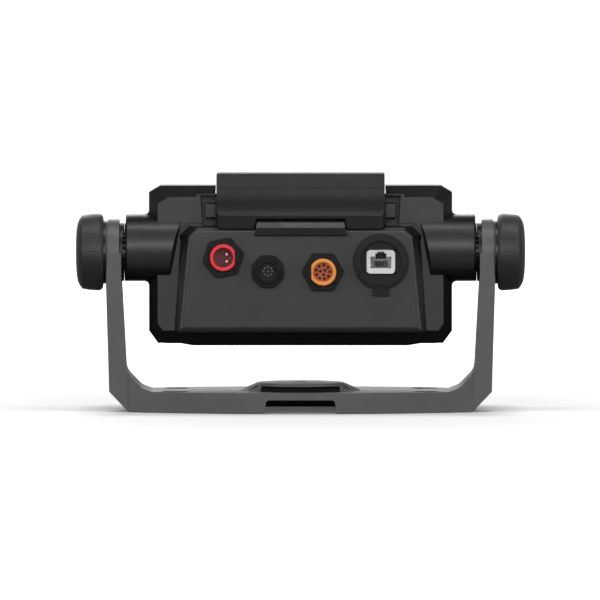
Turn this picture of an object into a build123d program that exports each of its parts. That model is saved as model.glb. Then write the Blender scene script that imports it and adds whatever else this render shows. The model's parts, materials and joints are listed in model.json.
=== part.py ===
from build123d import *
import math
import os

os.makedirs("parts", exist_ok=True)

# Chartplotter display in a quick-release cradle on a bail bracket.
# Millimetres, +Z up. The screen faces -Y and the sockets face +Y. The origin is the
# centre of the bracket's underside, on the surface that it is screwed to.

# ---- Driving dimensions -----------------------------------------------------------
TILT_Z = 89.5              # height of the tilt axis, which runs along X at Y = 0

# Bail bracket
BASE_T = 11.6              # thickness of the base
BASE_HALF_DEPTH = 40.5     # half depth of the base at its middle
BASE_ARC_R = 228.6         # plan radius of the base's front and rear edges
BASE_WALL = 3.0            # wall left round the hollow underside
ARM_R = 18.5               # half depth of an arm, and the radius of its top
ARM_OUT_FOOT = 107.9       # outer face of an arm at its foot
ARM_OUT_MID = 109.7        # outer face at mid height
ARM_OUT_TOP = 108.9        # outer face at the tilt axis
ARM_IN_TOP = 101.0         # inner face at the tilt axis
ARM_IN_FOOT = 98.3         # inner face at its foot
SEAT_STEP = 1.3            # depth of the seat for the toothed disc
PAD_R = 17.6               # round pad on the arm that the knob's washer bears on
PAD_X = 109.9              # outer face of that pad
BOLT_X = 70.6              # bolt holes, half spacing along X
BOLT_Y = 20.0              # bolt holes, half spacing along Y
BOLT_R = 2.75
BOLT_BORE_R = 7.5          # counterbore round each bolt hole
BASE_RIB_Z = 4.4           # lower edge of the ribs and the hub under the base
NOTCH_HALF = 20.5          # cable notch in the base's rear edge, half width at the floor
NOTCH_HALF_TOP = 19.2      # half width at its top
NOTCH_H = 7.6

# Hub cap on the base
CAP_R = 24.3
CAP_SKIRT_R = 34.0
CAP_TOP_Z = 16.3
CAP_GAP_HALF = 22.5        # the cap is open between its skirts, half width
CAP_SCREW_R = 1.6

# Toothed discs and clamp knobs
TOOTH_COUNT = 34
DISC_R = 16.4
DISC_BORE_R = 5.0
ARM_DISC_X = 100.3         # plane of the arm disc's tooth roots
BOSS_FACE_X = 98.6         # outer end of a cradle boss
BOSS_DISC_X = 98.7         # plane of the boss disc's tooth roots
TOOTH_H = 0.6              # the teeth are drawn 0.4 apart, as with the knobs slackened
KNOB_X0 = 111.2            # inner face of the knob
KNOB_X1 = 126.9            # outermost point of the knob
KNOB_R = 21.7
STUD_R = 4.0
STUD_END_X = 85.5
INSERT_X = 84.5            # inner end of a threaded insert
INSERT_R = 6.0

# Cradle
RIM_Y = -20.0              # front edge of the cradle's side walls
BEVEL_Y = 2.0              # where the side walls start to slope in
PLATE_Y = 11.5             # rear face of the cradle's wings
WALL = 2.6
RIM_HALF = 85.6            # half width outside
RIM_Z0 = 38.2
RIM_Z1 = 127.2
SILL_Z = 47.6              # lower end of the side walls, clear of the head as it tips
PLATE_HALF = 81.0
PLATE_Z0 = 45.1
PLATE_Z1 = 120.9
POD_Y = 22.0               # face that carries the sockets
POD_Z1 = 104.6
POD_WALL = 2.8
POD_EDGE_R = 3.0
GROOVE_W = 1.6             # groove round the pod's top corners
GROOVE_D = 1.3
BOSS_R = 18.9
BOSS_Z = 92.0              # the boss sits a little above the tilt axis
BOSS_IN_X = 69.0           # inner end of the boss on the wing
BAY_HALF = 56.0            # recess for the latch, half width
BAY_FLOOR_Y = 4.0
NOTCH_TOP_HALF = 48.0      # gap for the latch in the cradle's top wall, half width
NOTCH_TOP_Z = 122.6        # floor of that gap

# Latch
HOOD_HALF = 47.4
HOOD_TOP_Z = 134.3
HOOD_LIP_Z = 103.4
HOOD_WALL = 2.5
SLIDE_HALF = 48.6
SLIDE_Z0 = 105.0
SLIDE_Z1 = 121.6
RAIL_X0 = 48.9
RAIL_X1 = 53.4
SPRING_X = 12.0

# Display head
HEAD_HALF = 84.0
HEAD_Z0 = 36.9
HEAD_Z1 = 121.5
CHIN_Z = 35.7              # lowest edge of the head, along its middle
HEAD_FRONT_Y = -40.0
SEAM_Y = -30.0             # joint between bezel and rear housing
HEAD_REAR_Y = 1.0
HEAD_CORNER_R = 8.0
NEST_HALF = 82.2           # part of the housing inside the cradle, half width
NEST_Z0 = 41.4
NEST_Z1 = 118.5
NEST_Y = -22.0
HEAD_WALL = 2.3
RIDGE_HALF = 45.0          # ridge on the housing that the latch hooks over

# Screen: 6 inch diagonal, 16 to 9
SCREEN_X = -10.0           # centre of the screen
SCREEN_Z = 79.2
SCREEN_W = 132.8
SCREEN_H = 74.7
GLASS_W = 140.0
GLASS_H = 78.4
GLASS_T = 1.6

# Keys and card door
KEY_X = 72.0
KEY_ZS = [112.0, 99.0, 86.0, 73.0, 60.0]
KEY_NAMES = ["power", "home", "mark", "zoom_in", "zoom_out"]
KEY_W = 15.0
KEY_H = 8.5
KEY_PROUD = 1.2
DOOR_X0 = 63.0
DOOR_X1 = 81.0
DOOR_Z0 = 39.6
DOOR_PIN_Z = 50.7
DOOR_PIN_Y = -38.9

# Sockets on the pod: centre X, centre Z
POWER_AT = (43.5, 87.3)
DATA_AT = (18.4, 79.6)
SONAR_AT = (-12.6, 79.2)
NETWORK_AT = (-45.2, 85.0)
BOARD_Y = 7.2              # rear face of the cradle's wiring board
NUT_T = 3.0
NUT_CORNER_R = 11.95


# ---- Shape helpers ----------------------------------------------------------------
def block(x0, x1, y0, y1, z0, z1):
    """Box from its six faces."""
    centre = Pos((x0 + x1) / 2, (y0 + y1) / 2, (z0 + z1) / 2)
    return centre * Box(abs(x1 - x0), abs(y1 - y0), abs(z1 - z0))


def rod_x(radius, x0, x1, y=0.0, z=TILT_Z):
    """Cylinder along X."""
    return Pos((x0 + x1) / 2, y, z) * Rot(0, 90, 0) * Cylinder(radius, abs(x1 - x0))


def rod_y(radius, y0, y1, x, z):
    """Cylinder along Y."""
    return Pos(x, (y0 + y1) / 2, z) * Rot(90, 0, 0) * Cylinder(radius, y1 - y0)


def rod_z(radius, z0, z1, x=0.0, y=0.0):
    """Cylinder along Z."""
    return Pos(x, y, (z0 + z1) / 2) * Cylinder(radius, z1 - z0)


def polygon_xz(points, y):
    """Flat face from X, Z points, at one Y."""
    return Face(Wire.make_polygon([Vector(x, y, z) for x, z in points]))


def prism_y(points, y0, y1):
    """Prism along Y from X, Z points."""
    return extrude(polygon_xz(points, y0), amount=y1 - y0, dir=(0, 1, 0))


def prism_x(points, x0, x1):
    """Prism along X from Y, Z points."""
    face = Face(Wire.make_polygon([Vector(x0, y, z) for y, z in points]))
    return extrude(face, amount=abs(x1 - x0), dir=(math.copysign(1, x1 - x0), 0, 0))


def rounded_block(width, height, radius, y0, y1, x=0.0, z=0.0):
    """Block along Y with its four long edges rounded."""
    shape = Pos(x, (y0 + y1) / 2, z) * Box(width, y1 - y0, height)
    return fillet(shape.edges().filter_by(Axis.Y), radius)


def turned_x(points, side=1):
    """Solid of revolution about the tilt axis, from (X, radius) points."""
    outline = [Vector(x, 0, TILT_Z + r) for x, r in points]
    solid = revolve(Face(Wire.make_polygon(outline)), Axis((0, 0, TILT_Z), (1, 0, 0)))
    return solid if side > 0 else solid.mirror(Plane.YZ)


def both_sides(shape):
    """The shape and its mirror image in the YZ plane, as two solids."""
    return [shape, shape.mirror(Plane.YZ)]


def octagon(half, z0, z1, low_dx, low_dz, top_dx, top_dz):
    """Rectangle with cut corners, as X, Z points."""
    right = [(half - low_dx, z0), (half, z0 + low_dz), (half, z1 - top_dz), (half - top_dx, z1)]
    left = [(-x, z) for x, z in reversed(right)]
    return right + left


def save(node, *shapes):
    """Write one node as a STEP file."""
    solids = []
    for shape in shapes:
        solids.extend(shape.solids())
    export_step(Compound(children=solids) if len(solids) > 1 else solids[0], f"parts/{node}.step")


# ---- Bail bracket -----------------------------------------------------------------
def lens_plan(half_depth, half_length, z0, z1):
    """Plan of the base: two shallow arcs, square ends."""
    sag = BASE_ARC_R - math.sqrt(BASE_ARC_R**2 - half_length**2)
    end = half_depth - sag
    front = ThreePointArc((-half_length, -end), (0, -half_depth), (half_length, -end))
    right = Line((half_length, -end), (half_length, end))
    rear = ThreePointArc((half_length, end), (0, half_depth), (-half_length, end))
    left = Line((-half_length, end), (-half_length, -end))
    face = make_face([front, right, rear, left])
    return Pos(0, 0, z0) * extrude(face, amount=z1 - z0)


def bail_profile():
    """Front outline of the bracket: a U with slightly splayed arms."""
    right = [
        (97.0, 0.0),
        (ARM_OUT_FOOT, 11.4),
        (ARM_OUT_MID, 72.0),
        (ARM_OUT_TOP, TILT_Z),
        (ARM_OUT_TOP - 0.2, 110.0),
        (ARM_IN_TOP + 0.4, 110.0),
        (ARM_IN_TOP, 72.0),
        (ARM_IN_FOOT, 23.0),
        (90.0, 14.0),
        (84.0, BASE_T),
    ]
    radii = [1.5, 1.5, 30.0, 30.0, 0.5, 0.5, 30.0, 9.0, 8.0, 6.0]
    left = [(-x, z) for x, z in reversed(right)]
    points = [(x, 0, z) for x, z in right + left]
    outline = FilletPolyline(*points, radius=radii + radii[::-1], close=True)
    return extrude(make_face(outline), amount=60, dir=(0, 1, 0), both=True)


def bail_envelope():
    """What the bracket may fill seen from above and from the side."""
    plan = lens_plan(BASE_HALF_DEPTH, 97.0, -1, 40)
    for side in (-1, 1):
        plan += block(side * 84, side * 112, -ARM_R, ARM_R, -1, TILT_Z)
        plan += rod_x(ARM_R, side * 84, side * 112)
    return plan


def bail_underside():
    """Hollows under the base, between its ribs."""
    hollow = lens_plan(BASE_HALF_DEPTH - BASE_WALL, 58.0, -1, BASE_T - BASE_WALL)
    hollow -= rod_z(12.0, BASE_RIB_Z, BASE_T)
    hollow -= block(-60, 60, -1.2, 1.2, BASE_RIB_Z, BASE_T)
    for x in (-40, 40):
        hollow -= block(x - 1.2, x + 1.2, -45, 45, BASE_RIB_Z, BASE_T)
    return hollow


def cable_notch():
    """Way for a lead through the base's rear edge, open to the floor."""
    corners = [
        (-NOTCH_HALF, 0, -1),
        (-NOTCH_HALF_TOP, 0, NOTCH_H),
        (NOTCH_HALF_TOP, 0, NOTCH_H),
        (NOTCH_HALF, 0, -1),
    ]
    outline = FilletPolyline(*corners, radius=[0.2, 2.2, 2.2, 0.2], close=True)
    return Pos(0, 34, 0) * extrude(make_face(outline), amount=9, dir=(0, 1, 0))


def bail_bracket():
    body = bail_profile() & bail_envelope()
    body -= bail_underside()
    body -= cable_notch()
    for side in (-1, 1):
        for bolt in (-1, 1):
            body -= rod_z(BOLT_R, -1, BASE_T + 1, bolt * BOLT_X, side * BOLT_Y)
            body -= rod_z(BOLT_BORE_R, BASE_T - 2.5, BASE_T + 1, bolt * BOLT_X, side * BOLT_Y)
        body += rod_x(PAD_R, side * 107, side * PAD_X)
        seat_in = side * (ARM_IN_TOP - 2)
        seat_out = side * (ARM_IN_TOP + SEAT_STEP)
        body -= block(seat_in, seat_out, -ARM_R - 1, ARM_R + 1, TILT_Z, 112)
        body -= rod_x(DISC_R + 0.4, seat_in, seat_out)
        body -= rod_x(STUD_R + 0.5, side * 95, side * 115)
    body -= rod_z(CAP_SCREW_R + 0.05, BASE_RIB_Z - 1, BASE_T + 1)
    return body


# ---- Hub cap ----------------------------------------------------------------------
def hub_cap():
    """Round cap on the base: a disc on two ribbed side skirts, open front and rear."""
    outline = [
        (0, BASE_T),
        (8, BASE_T),
        (8, CAP_TOP_Z - 1.8),
        (CAP_R - 2, CAP_TOP_Z - 1.8),
        (CAP_SKIRT_R - 3.4, BASE_T),
        (CAP_SKIRT_R, BASE_T),
        (CAP_R + 0.8, CAP_TOP_Z - 0.7),
        (CAP_R, CAP_TOP_Z - 0.35),
        (12, CAP_TOP_Z),
        (0, CAP_TOP_Z),
    ]
    face = Face(Wire.make_polygon([Vector(r, 0, z) for r, z in outline]))
    cap = revolve(face, Axis.Z)
    gap = block(-CAP_GAP_HALF, CAP_GAP_HALF, -40, 40, BASE_T - 1, CAP_TOP_Z - 1.8)
    cap -= gap - rod_z(8, BASE_T - 2, CAP_TOP_Z)
    slot = block(25.2, 40, -2.0, 2.0, BASE_T + 0.8, CAP_TOP_Z - 1.9)
    for angle in (-27, -9, 9, 27, 153, 171, 189, 207):
        cap -= Rot(0, 0, angle) * slot
    cap -= rod_z(1.9, BASE_T - 1, CAP_TOP_Z + 1)
    cap -= rod_z(3.4, CAP_TOP_Z - 1.4, CAP_TOP_Z + 1)
    return cap


def hub_pad():
    """Rubber pad that fills the cap between its skirts and carries on their slope."""
    outline = [
        (8.2, BASE_T),
        (CAP_SKIRT_R - 0.8, BASE_T),
        (CAP_SKIRT_R - 0.8, BASE_T + 0.4),
        (CAP_R - 0.2, CAP_TOP_Z - 1.85),
        (8.2, CAP_TOP_Z - 1.85),
    ]
    face = Face(Wire.make_polygon([Vector(r, 0, z) for r, z in outline]))
    edge = CAP_GAP_HALF - 0.3
    return revolve(face, Axis.Z) & block(-edge, edge, -40, 40, BASE_T - 1, CAP_TOP_Z)


def cap_screw():
    """Screw that holds the cap down from above."""
    screw = rod_z(CAP_SCREW_R, BASE_RIB_Z + 0.8, CAP_TOP_Z - 1.4)
    screw += rod_z(3.1, CAP_TOP_Z - 1.4, CAP_TOP_Z - 0.4)
    screw -= block(-2.2, 2.2, -0.35, 0.35, CAP_TOP_Z - 0.9, CAP_TOP_Z)
    screw -= block(-0.35, 0.35, -2.2, 2.2, CAP_TOP_Z - 0.9, CAP_TOP_Z)
    return screw


# ---- Toothed discs ----------------------------------------------------------------
def toothed_disc(x_root, x_back, x_tip):
    """Disc about the tilt axis with radial teeth on one face."""
    disc = rod_x(DISC_R, x_root, x_back) - rod_x(DISC_BORE_R, x_root, x_back)
    half_pitch = math.pi * DISC_R / TOOTH_COUNT
    inner = half_pitch * 0.32
    outer = half_pitch * 0.56
    wedge = [(-inner, 9.0), (inner, 9.0), (outer, DISC_R - 0.1), (-outer, DISC_R - 0.1)]
    overlap = math.copysign(0.1, x_root - x_tip)
    tooth = prism_x(wedge, x_root + overlap, x_tip)
    for index in range(TOOTH_COUNT):
        angle = 360 * index / TOOTH_COUNT
        disc += Pos(0, 0, TILT_Z) * Rot(angle, 0, 0) * tooth
    return disc


def arm_discs():
    """Toothed discs seated in the arms."""
    return both_sides(toothed_disc(ARM_DISC_X, ARM_IN_TOP + SEAT_STEP, ARM_DISC_X - TOOTH_H))


def boss_discs():
    """Toothed discs on the ends of the cradle's bosses."""
    return both_sides(toothed_disc(BOSS_DISC_X, BOSS_FACE_X - 2.2, BOSS_DISC_X + TOOTH_H))


# ---- Clamp knobs ------------------------------------------------------------------
def knob_grip(side):
    """Rubber cover of a clamp knob, with two shallow index lines on its rim."""
    outline = [
        (KNOB_X0 + 1.6, 12.0),
        (KNOB_X0 + 0.1, 13.6),
        (KNOB_X0 + 0.1, 18.6),
        (KNOB_X0 + 0.35, 20.0),
        (KNOB_X0 + 1.0, 21.0),
        (KNOB_X0 + 2.1, 21.6),
        (KNOB_X0 + 3.6, KNOB_R),
        (119.5, KNOB_R - 0.35),
        (123.2, 20.75),
        (124.8, 18.7),
        (125.9, 16.2),
        (126.5, 12.6),
        (126.8, 8.0),
        (KNOB_X1, 0.0),
        (KNOB_X1 - 2.0, 0.0),
        (KNOB_X1 - 2.0, 15.0),
        (KNOB_X0 + 1.6, 15.0),
    ]
    grip = turned_x(outline, side)
    for z in (TILT_Z - 1.1, TILT_Z + 0.9):
        for y in (-KNOB_R, KNOB_R):
            grip -= block(side * 114.8, side * 123.4, y - 0.4, y + 0.4, z - 0.2, z + 0.2)
    return grip


def knob_stud(side):
    """Steel stud and the hard hub moulded round its head."""
    outline = [
        (STUD_END_X, 0.0),
        (STUD_END_X, STUD_R - 0.8),
        (STUD_END_X + 0.8, STUD_R),
        (KNOB_X0, STUD_R),
        (KNOB_X0, 11.8),
        (KNOB_X0 + 1.65, 11.8),
        (KNOB_X0 + 1.65, 14.95),
        (KNOB_X1 - 2.05, 14.95),
        (KNOB_X1 - 2.05, 0.0),
    ]
    return turned_x(outline, side)


def knob_washer(side):
    """Thrust washer between the knob and the arm."""
    ring = rod_x(PAD_R + 0.3, PAD_X + 0.1, KNOB_X0 - 0.1) - rod_x(STUD_R + 0.1, 109, 112)
    return ring if side > 0 else ring.mirror(Plane.YZ)


# ---- Cradle -----------------------------------------------------------------------
def cradle_outer():
    """Tub that the head sits in: straight walls, then a bevel to the rear wings."""
    rim = octagon(RIM_HALF, RIM_Z0, RIM_Z1, 5.1, 7.0, 6.4, 3.9)
    plate = octagon(PLATE_HALF, PLATE_Z0, PLATE_Z1, 3.0, 3.9, 6.2, 3.6)
    inset = octagon(PLATE_HALF - 0.5, PLATE_Z0 + 0.5, PLATE_Z1 - 0.5, 3.0, 3.9, 6.2, 3.6)
    tub = prism_y(rim, RIM_Y, BEVEL_Y)
    tub += loft([polygon_xz(rim, BEVEL_Y), polygon_xz(plate, PLATE_Y - 0.5)], ruled=True)
    tub += loft([polygon_xz(plate, PLATE_Y - 0.5), polygon_xz(inset, PLATE_Y)], ruled=True)
    return tub


def cradle_inner():
    """Space inside the tub."""
    rim = octagon(RIM_HALF - WALL, RIM_Z0 + 3.0, RIM_Z1 - 2.9, 4.4, 6.0, 5.6, 3.4)
    plate = octagon(79.4, 46.2, 119.8, 2.8, 3.6, 5.6, 3.2)
    space = prism_y(rim, RIM_Y - 1, BEVEL_Y)
    space += loft([polygon_xz(rim, BEVEL_Y), polygon_xz(plate, PLATE_Y - 3.0)], ruled=True)
    return space


def cradle_boss(side):
    """Pivot boss beside the tub, running on across the wing as a half-round."""
    outline = [
        (BOSS_IN_X - 4.0, 0.0),
        (BOSS_IN_X - 4.0, BOSS_R),
        (BOSS_FACE_X - 0.8, BOSS_R),
        (BOSS_FACE_X, BOSS_R - 0.8),
        (BOSS_FACE_X, 0.0),
    ]
    lift = Pos(0, 0, BOSS_Z - TILT_Z)
    boss = lift * turned_x(outline)
    slant = Pos(BOSS_IN_X + 1.4, PLATE_Y, BOSS_Z) * Rot(0, -11, -13)
    boss -= slant * block(-14, 0, -40, 20, -32, 32)
    flare = [(80, 0), (80, BOSS_R + 2.2), (85.6, BOSS_R + 2.2), (85.9, BOSS_R + 1.3)]
    flare += [(86.6, BOSS_R + 0.5), (87.8, BOSS_R), (87.8, 0)]
    skirt = lift * turned_x(flare)
    boss += skirt & block(75, 95, RIM_Y, BEVEL_Y, 60, 125)
    return boss if side > 0 else boss.mirror(Plane.YZ)


def pod_solid(grow, y0, y1, z0, z1):
    """Raised housing for the sockets, narrower towards its face and its top."""
    def section(y, depth):
        low = 71.2 - 0.25 * depth + grow
        top = 66.4 - 0.43 * depth + grow
        points = [(-low, z0), (low, z0), (top + 1.0, z1 - 5.0), (top - 4.0, z1)]
        points += [(-top + 4.0, z1), (-top - 1.0, z1 - 5.0)]
        return polygon_xz(points, y)
    first = section(y0, y0 - PLATE_Y)
    last = section(y1, y1 - PLATE_Y)
    return loft([first, last], ruled=True)


def pod_outer():
    """Outside of the pod, with its rear edges rounded off."""
    pod = pod_solid(0.0, PLATE_Y - 3.0, POD_Y, PLATE_Z0, POD_Z1)
    rear = pod.faces().sort_by(Axis.Y)[-1]
    return fillet(rear.edges(), POD_EDGE_R)


def pod_groove():
    """Groove in the wings round the pod's top corners, running out into the latch bay."""
    band = pod_solid(GROOVE_W, PLATE_Y - GROOVE_D, PLATE_Y + 0.2, PLATE_Z0, POD_Z1 + GROOVE_W)
    band -= pod_solid(0.0, PLATE_Y - 3.0, PLATE_Y + 1.0, PLATE_Z0, POD_Z1)
    return band & block(-68.3, 68.3, 0, 20, 97, 110)


def latch_bay():
    """Walls and floor of the recess between the wings that the latch slides in."""
    side = BAY_HALF + WALL
    return block(-side, side, 1.5, PLATE_Y - 0.5, POD_Z1 - WALL, NOTCH_TOP_Z)


def bay_space():
    """Open space of the latch bay, and the gap above it for the hood."""
    points = [(-55.4, POD_Z1), (55.4, POD_Z1), (56.9, 130), (-56.9, 130)]
    space = prism_y(points, BAY_FLOOR_Y, PLATE_Y + 0.1) & block(-60, 60, 0, 20, POD_Z1, 121.9)
    half = NOTCH_TOP_HALF
    space += block(-half, half, BAY_FLOOR_Y, PLATE_Y + 1, POD_Z1 + 5, NOTCH_TOP_Z + 1)
    space += block(-half, half, RIM_Y - 1, PLATE_Y + 1, NOTCH_TOP_Z, 130)
    return space


def cradle_shell():
    """Cradle: tub, wings, pod and both pivot bosses, one moulding."""
    body = cradle_outer()
    for side in (-1, 1):
        body += cradle_boss(side)
    body -= cradle_inner()
    body += pod_outer()
    body += latch_bay()
    body -= bay_space()
    body -= pod_groove()
    body -= pod_solid(-WALL - 0.4, PLATE_Y - 4.0, POD_Y - POD_WALL, 48.0, 101.0)
    body -= block(-95, 95, RIM_Y - 1, BEVEL_Y, 30, SILL_Z)
    for x, z in dock_screw_places():
        body += rod_y(3.2, 4.4, PLATE_Y - 2.5, x, z)
        body -= rod_y(1.1, 4.0, 8.6, x, z)
    for x in (-SPRING_X, SPRING_X):
        body += rod_y(1.3, BAY_FLOOR_Y - 0.5, 8.6, x, 106.4)
    for side in (-1, 1):
        body -= rod_x(INSERT_R, side * INSERT_X, side * 100)
        body -= rod_x(DISC_R, side * (BOSS_FACE_X - 2.2), side * 100)
    body -= rod_y(8.1, 18, 24, *POWER_AT)
    body -= rod_y(8.1, 18, 24, *SONAR_AT)
    body -= rod_y(7.0, 18, 24, *DATA_AT)
    body -= rod_y(12.2, 18, 24, *NETWORK_AT)
    return body


def thread_inserts():
    """Brass threaded inserts in the bosses, one for each stud."""
    insert = rod_x(INSERT_R, INSERT_X, BOSS_FACE_X - 2.2) - rod_x(STUD_R + 0.05, 78.0, 99.0)
    return both_sides(insert)


def guide_rails():
    """Rails that keep the latch slide in its bay."""
    rail = block(RAIL_X0, RAIL_X1, BAY_FLOOR_Y, 9.6, 108.9, 117.7)
    rail += block(47.8, RAIL_X0, 7.1, 9.6, 108.9, 117.7)
    rail = chamfer(rail.edges().filter_by(Axis.X).group_by(Axis.Y)[-1], 0.6)
    return both_sides(rail)


def finger_ledge():
    """Ledge below the latch's notch."""
    profile = [(POD_Y, 99.4), (26.0, 99.9), (27.6, 104.2), (25.2, 107.2), (POD_Y + 0.6, 107.2)]
    profile += [(POD_Y + 0.6, POD_Z1 + 0.3), (POD_Y, POD_Z1 - 1.6)]
    ledge = prism_x(profile, -27, 27)
    taper = [(-26.3, 99.0), (26.3, 99.0), (24.3, 108.0), (-24.3, 108.0)]
    return ledge & prism_y(taper, POD_Y - 1, 30)


def dock_screw_places():
    """Screws of the dock plate, X and Z."""
    return [(x, z) for x in (-70.5, 70.5) for z in (54.0, 75.0, 96.0)]


def dock_plate():
    """Cover inside the cradle, in front of the wiring board."""
    plate = block(-73.5, 73.5, 2.4, 4.4, 50.6, 100.6)
    plate -= block(-22.3, 22.3, 2, 5, 60.7, 77.3)
    for x, z in dock_screw_places():
        plate -= rod_y(1.3, 2, 5, x, z)
    return plate


def dock_screws():
    """Screws of the dock plate."""
    screws = []
    for x, z in dock_screw_places():
        screws.append(rod_y(1.05, 2.4, 8.4, x, z) + rod_y(2.4, 1.5, 2.4, x, z))
    return screws


def wiring_board():
    """Board that joins the sockets to the dock connector."""
    return block(-57, 57, 5.6, BOARD_Y, 55, 97)


def dock_connector():
    """Block of spring contacts, set in the dock plate's window."""
    body = block(-22, 22, 1.7, 5.6, 61, 77)
    for x in range(-15, 16, 6):
        for z in (66, 72):
            body -= rod_y(1.0, 1, 6, x, z)
    return body


def spring_pins():
    """Spring contacts of the dock connector."""
    pins = []
    for x in range(-15, 16, 6):
        for z in (66, 72):
            pins.append(rod_y(1.0, 1.9, 5.6, x, z) + rod_y(0.6, 1.25, 1.9, x, z))
    return pins


# ---- Sockets ----------------------------------------------------------------------
def hex_nut(centre, turn, bore):
    """Bulkhead nut with its corners turned down."""
    x, z = centre
    face = Plane(origin=(x, POD_Y + 0.5, z), x_dir=(1, 0, 0), z_dir=(0, 1, 0))
    nut = extrude(face * Rot(0, 0, turn) * RegularPolygon(12.2, 6), amount=NUT_T - 0.5)
    nut &= rod_y(NUT_CORNER_R, POD_Y, POD_Y + NUT_T, x, z)
    return nut - rod_y(bore, POD_Y, POD_Y + 5, x, z)


def seal_rings():
    """Flat seals under the three bulkhead nuts and the network collar."""
    rings = []
    for centre, outer, inner in (
        (POWER_AT, 10.4, 7.9),
        (DATA_AT, 8.9, 6.8),
        (SONAR_AT, 10.4, 7.9),
        (NETWORK_AT, 15.0, 12.2),
    ):
        rings.append(rod_y(outer, POD_Y, POD_Y + 0.5, *centre) - rod_y(inner, 21, 24, *centre))
    return rings


def keyed_shell(centre, flat_side):
    """Coloured socket shell: round with one flat, hollow for its insert."""
    x, z = centre
    shell = rod_y(7.55, POD_Y + 1.0, 29.5, x, z)
    shell -= block(x + flat_side * 6.55, x + flat_side * 12, 18, 31, z - 10, z + 10)
    shell += rod_y(7.8, 12.0, POD_Y + 1.0, x, z)
    shell -= rod_y(5.5, 15.0, 31, x, z)
    return chamfer(shell.faces().sort_by(Axis.Y)[-1].edges(), 0.35)


def power_insert():
    """Insulator of the power socket, with two pin holes."""
    x, z = POWER_AT
    insert = rod_y(5.45, 15.0, 24.8, x, z)
    for dz in (-2.05, 2.05):
        insert -= rod_y(1.45, 23.4, 26, x - 2.0, z + dz)
        insert -= rod_y(0.8, 14, 26, x - 2.0, z + dz)
    return insert


def power_pins():
    """Two power pins, from the wiring board to the mouth of the socket."""
    x, z = POWER_AT
    return [rod_y(0.8, BOARD_Y, 27.6, x - 2.0, z + dz) for dz in (-2.05, 2.05)]


def power_socket():
    """Red shell, closed behind except for its pins."""
    x, z = POWER_AT
    shell = keyed_shell(POWER_AT, -1)
    for dz in (-2.05, 2.05):
        shell -= rod_y(0.8, 11, 16, x - 2.0, z + dz)
    return shell


def sonar_positions():
    """Contacts of the sonar socket: nine in a ring and three inside it."""
    x, z = SONAR_AT
    places = []
    for count, radius in ((9, 3.9), (3, 1.55)):
        for index in range(count):
            angle = 2 * math.pi * index / count + 0.3
            places.append((x + radius * math.cos(angle), z + radius * math.sin(angle)))
    return places


def sonar_insert():
    """Insulator of the sonar socket, with twelve contact holes."""
    x, z = SONAR_AT
    insert = rod_y(5.45, 15.0, 27.6, x, z)
    for px, pz in sonar_positions():
        insert -= rod_y(0.85, 25.0, 28, px, pz)
    return insert


def data_positions():
    """Pins of the data socket: one in the middle and eight round it."""
    x, z = DATA_AT
    places = [(x, z)]
    for index in range(8):
        angle = math.pi / 4 * index
        places.append((x + 2.5 * math.cos(angle), z + 2.5 * math.sin(angle)))
    return places


def data_socket():
    """Round threaded data socket with a key slot."""
    x, z = DATA_AT
    shell = rod_y(6.7, 12.0, 28.4, x, z)
    for index in range(4):
        y = 25.8 + 0.65 * index
        shell -= rod_y(7.0, y, y + 0.3, x, z) - rod_y(6.35, y, y + 0.3, x, z)
    shell -= rod_y(4.9, 15.0, 30, x, z)
    return shell


def data_insert():
    """Insulator of the data socket."""
    x, z = DATA_AT
    insert = rod_y(4.85, 15.0, 24.6, x, z)
    insert += rod_y(3.9, 24.6, 25.4, x, z)
    insert -= block(x - 5.5, x - 4.1, 22, 26, z - 1.0, z + 1.0)
    for px, pz in data_positions():
        insert -= rod_y(0.5, 14, 26, px, pz)
    return insert


def data_pins():
    """Nine data pins, a little proud of the insulator."""
    return [rod_y(0.5, 15.0, 25.8, px, pz) for px, pz in data_positions()]


def data_nut():
    """Eight-sided nut of the data socket, with its corners turned down."""
    x, z = DATA_AT
    face = Plane(origin=(x, POD_Y + 0.5, z), x_dir=(1, 0, 0), z_dir=(0, 1, 0))
    nut = extrude(face * Rot(0, 0, 22.5) * RegularPolygon(9.9, 8), amount=25.2 - POD_Y - 0.5)
    nut &= rod_y(9.5, POD_Y, 25.2, x, z)
    nut -= rod_y(6.75, 21, 27, x, z)
    return nut


def network_collar():
    """Twist-lock collar round the network jack."""
    x, z = NETWORK_AT
    collar = rod_y(15.8, POD_Y + 0.5, 24.6, x, z)
    collar += rod_y(14.2, 24.6, 27.6, x, z)
    collar -= rod_y(11.6, 23.6, 29, x, z)
    collar += rod_y(12.1, 14.0, 23.6, x, z)
    collar -= block(x - 8.2, x + 8.2, 13, 29, z - 6.9, z + 6.9)
    for angle in (90, 270, 25, 155):
        notch = block(12.9, 17, 24.6, 29, -1.5, 1.5)
        collar -= Pos(x, 0, z) * Rot(0, angle, 0) * notch
    lug = block(x - 4.6, x + 4.6, POD_Y + 0.5, 24.2, z - 19.4, z - 15.0)
    return collar + lug


def network_jack():
    """Eight-way jack housing with its latch notch."""
    x, z = NETWORK_AT
    jack = rounded_block(16.0, 13.3, 2.2, 10.0, 26.0, x, z)
    jack -= block(x - 5.85, x + 5.85, 13.0, 27, z - 3.6, z + 2.9)
    jack -= block(x - 3.2, x + 3.2, 15.0, 27, z + 2.8, z + 4.7)
    jack -= block(x - 2.0, x + 2.0, 15.0, 27, z + 4.6, z + 5.8)
    for index in range(8):
        px = x - 3.57 + 1.02 * index
        jack -= block(px - 0.2, px + 0.2, 9, 14, z - 3.4, z - 3.0)
    return jack


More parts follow.
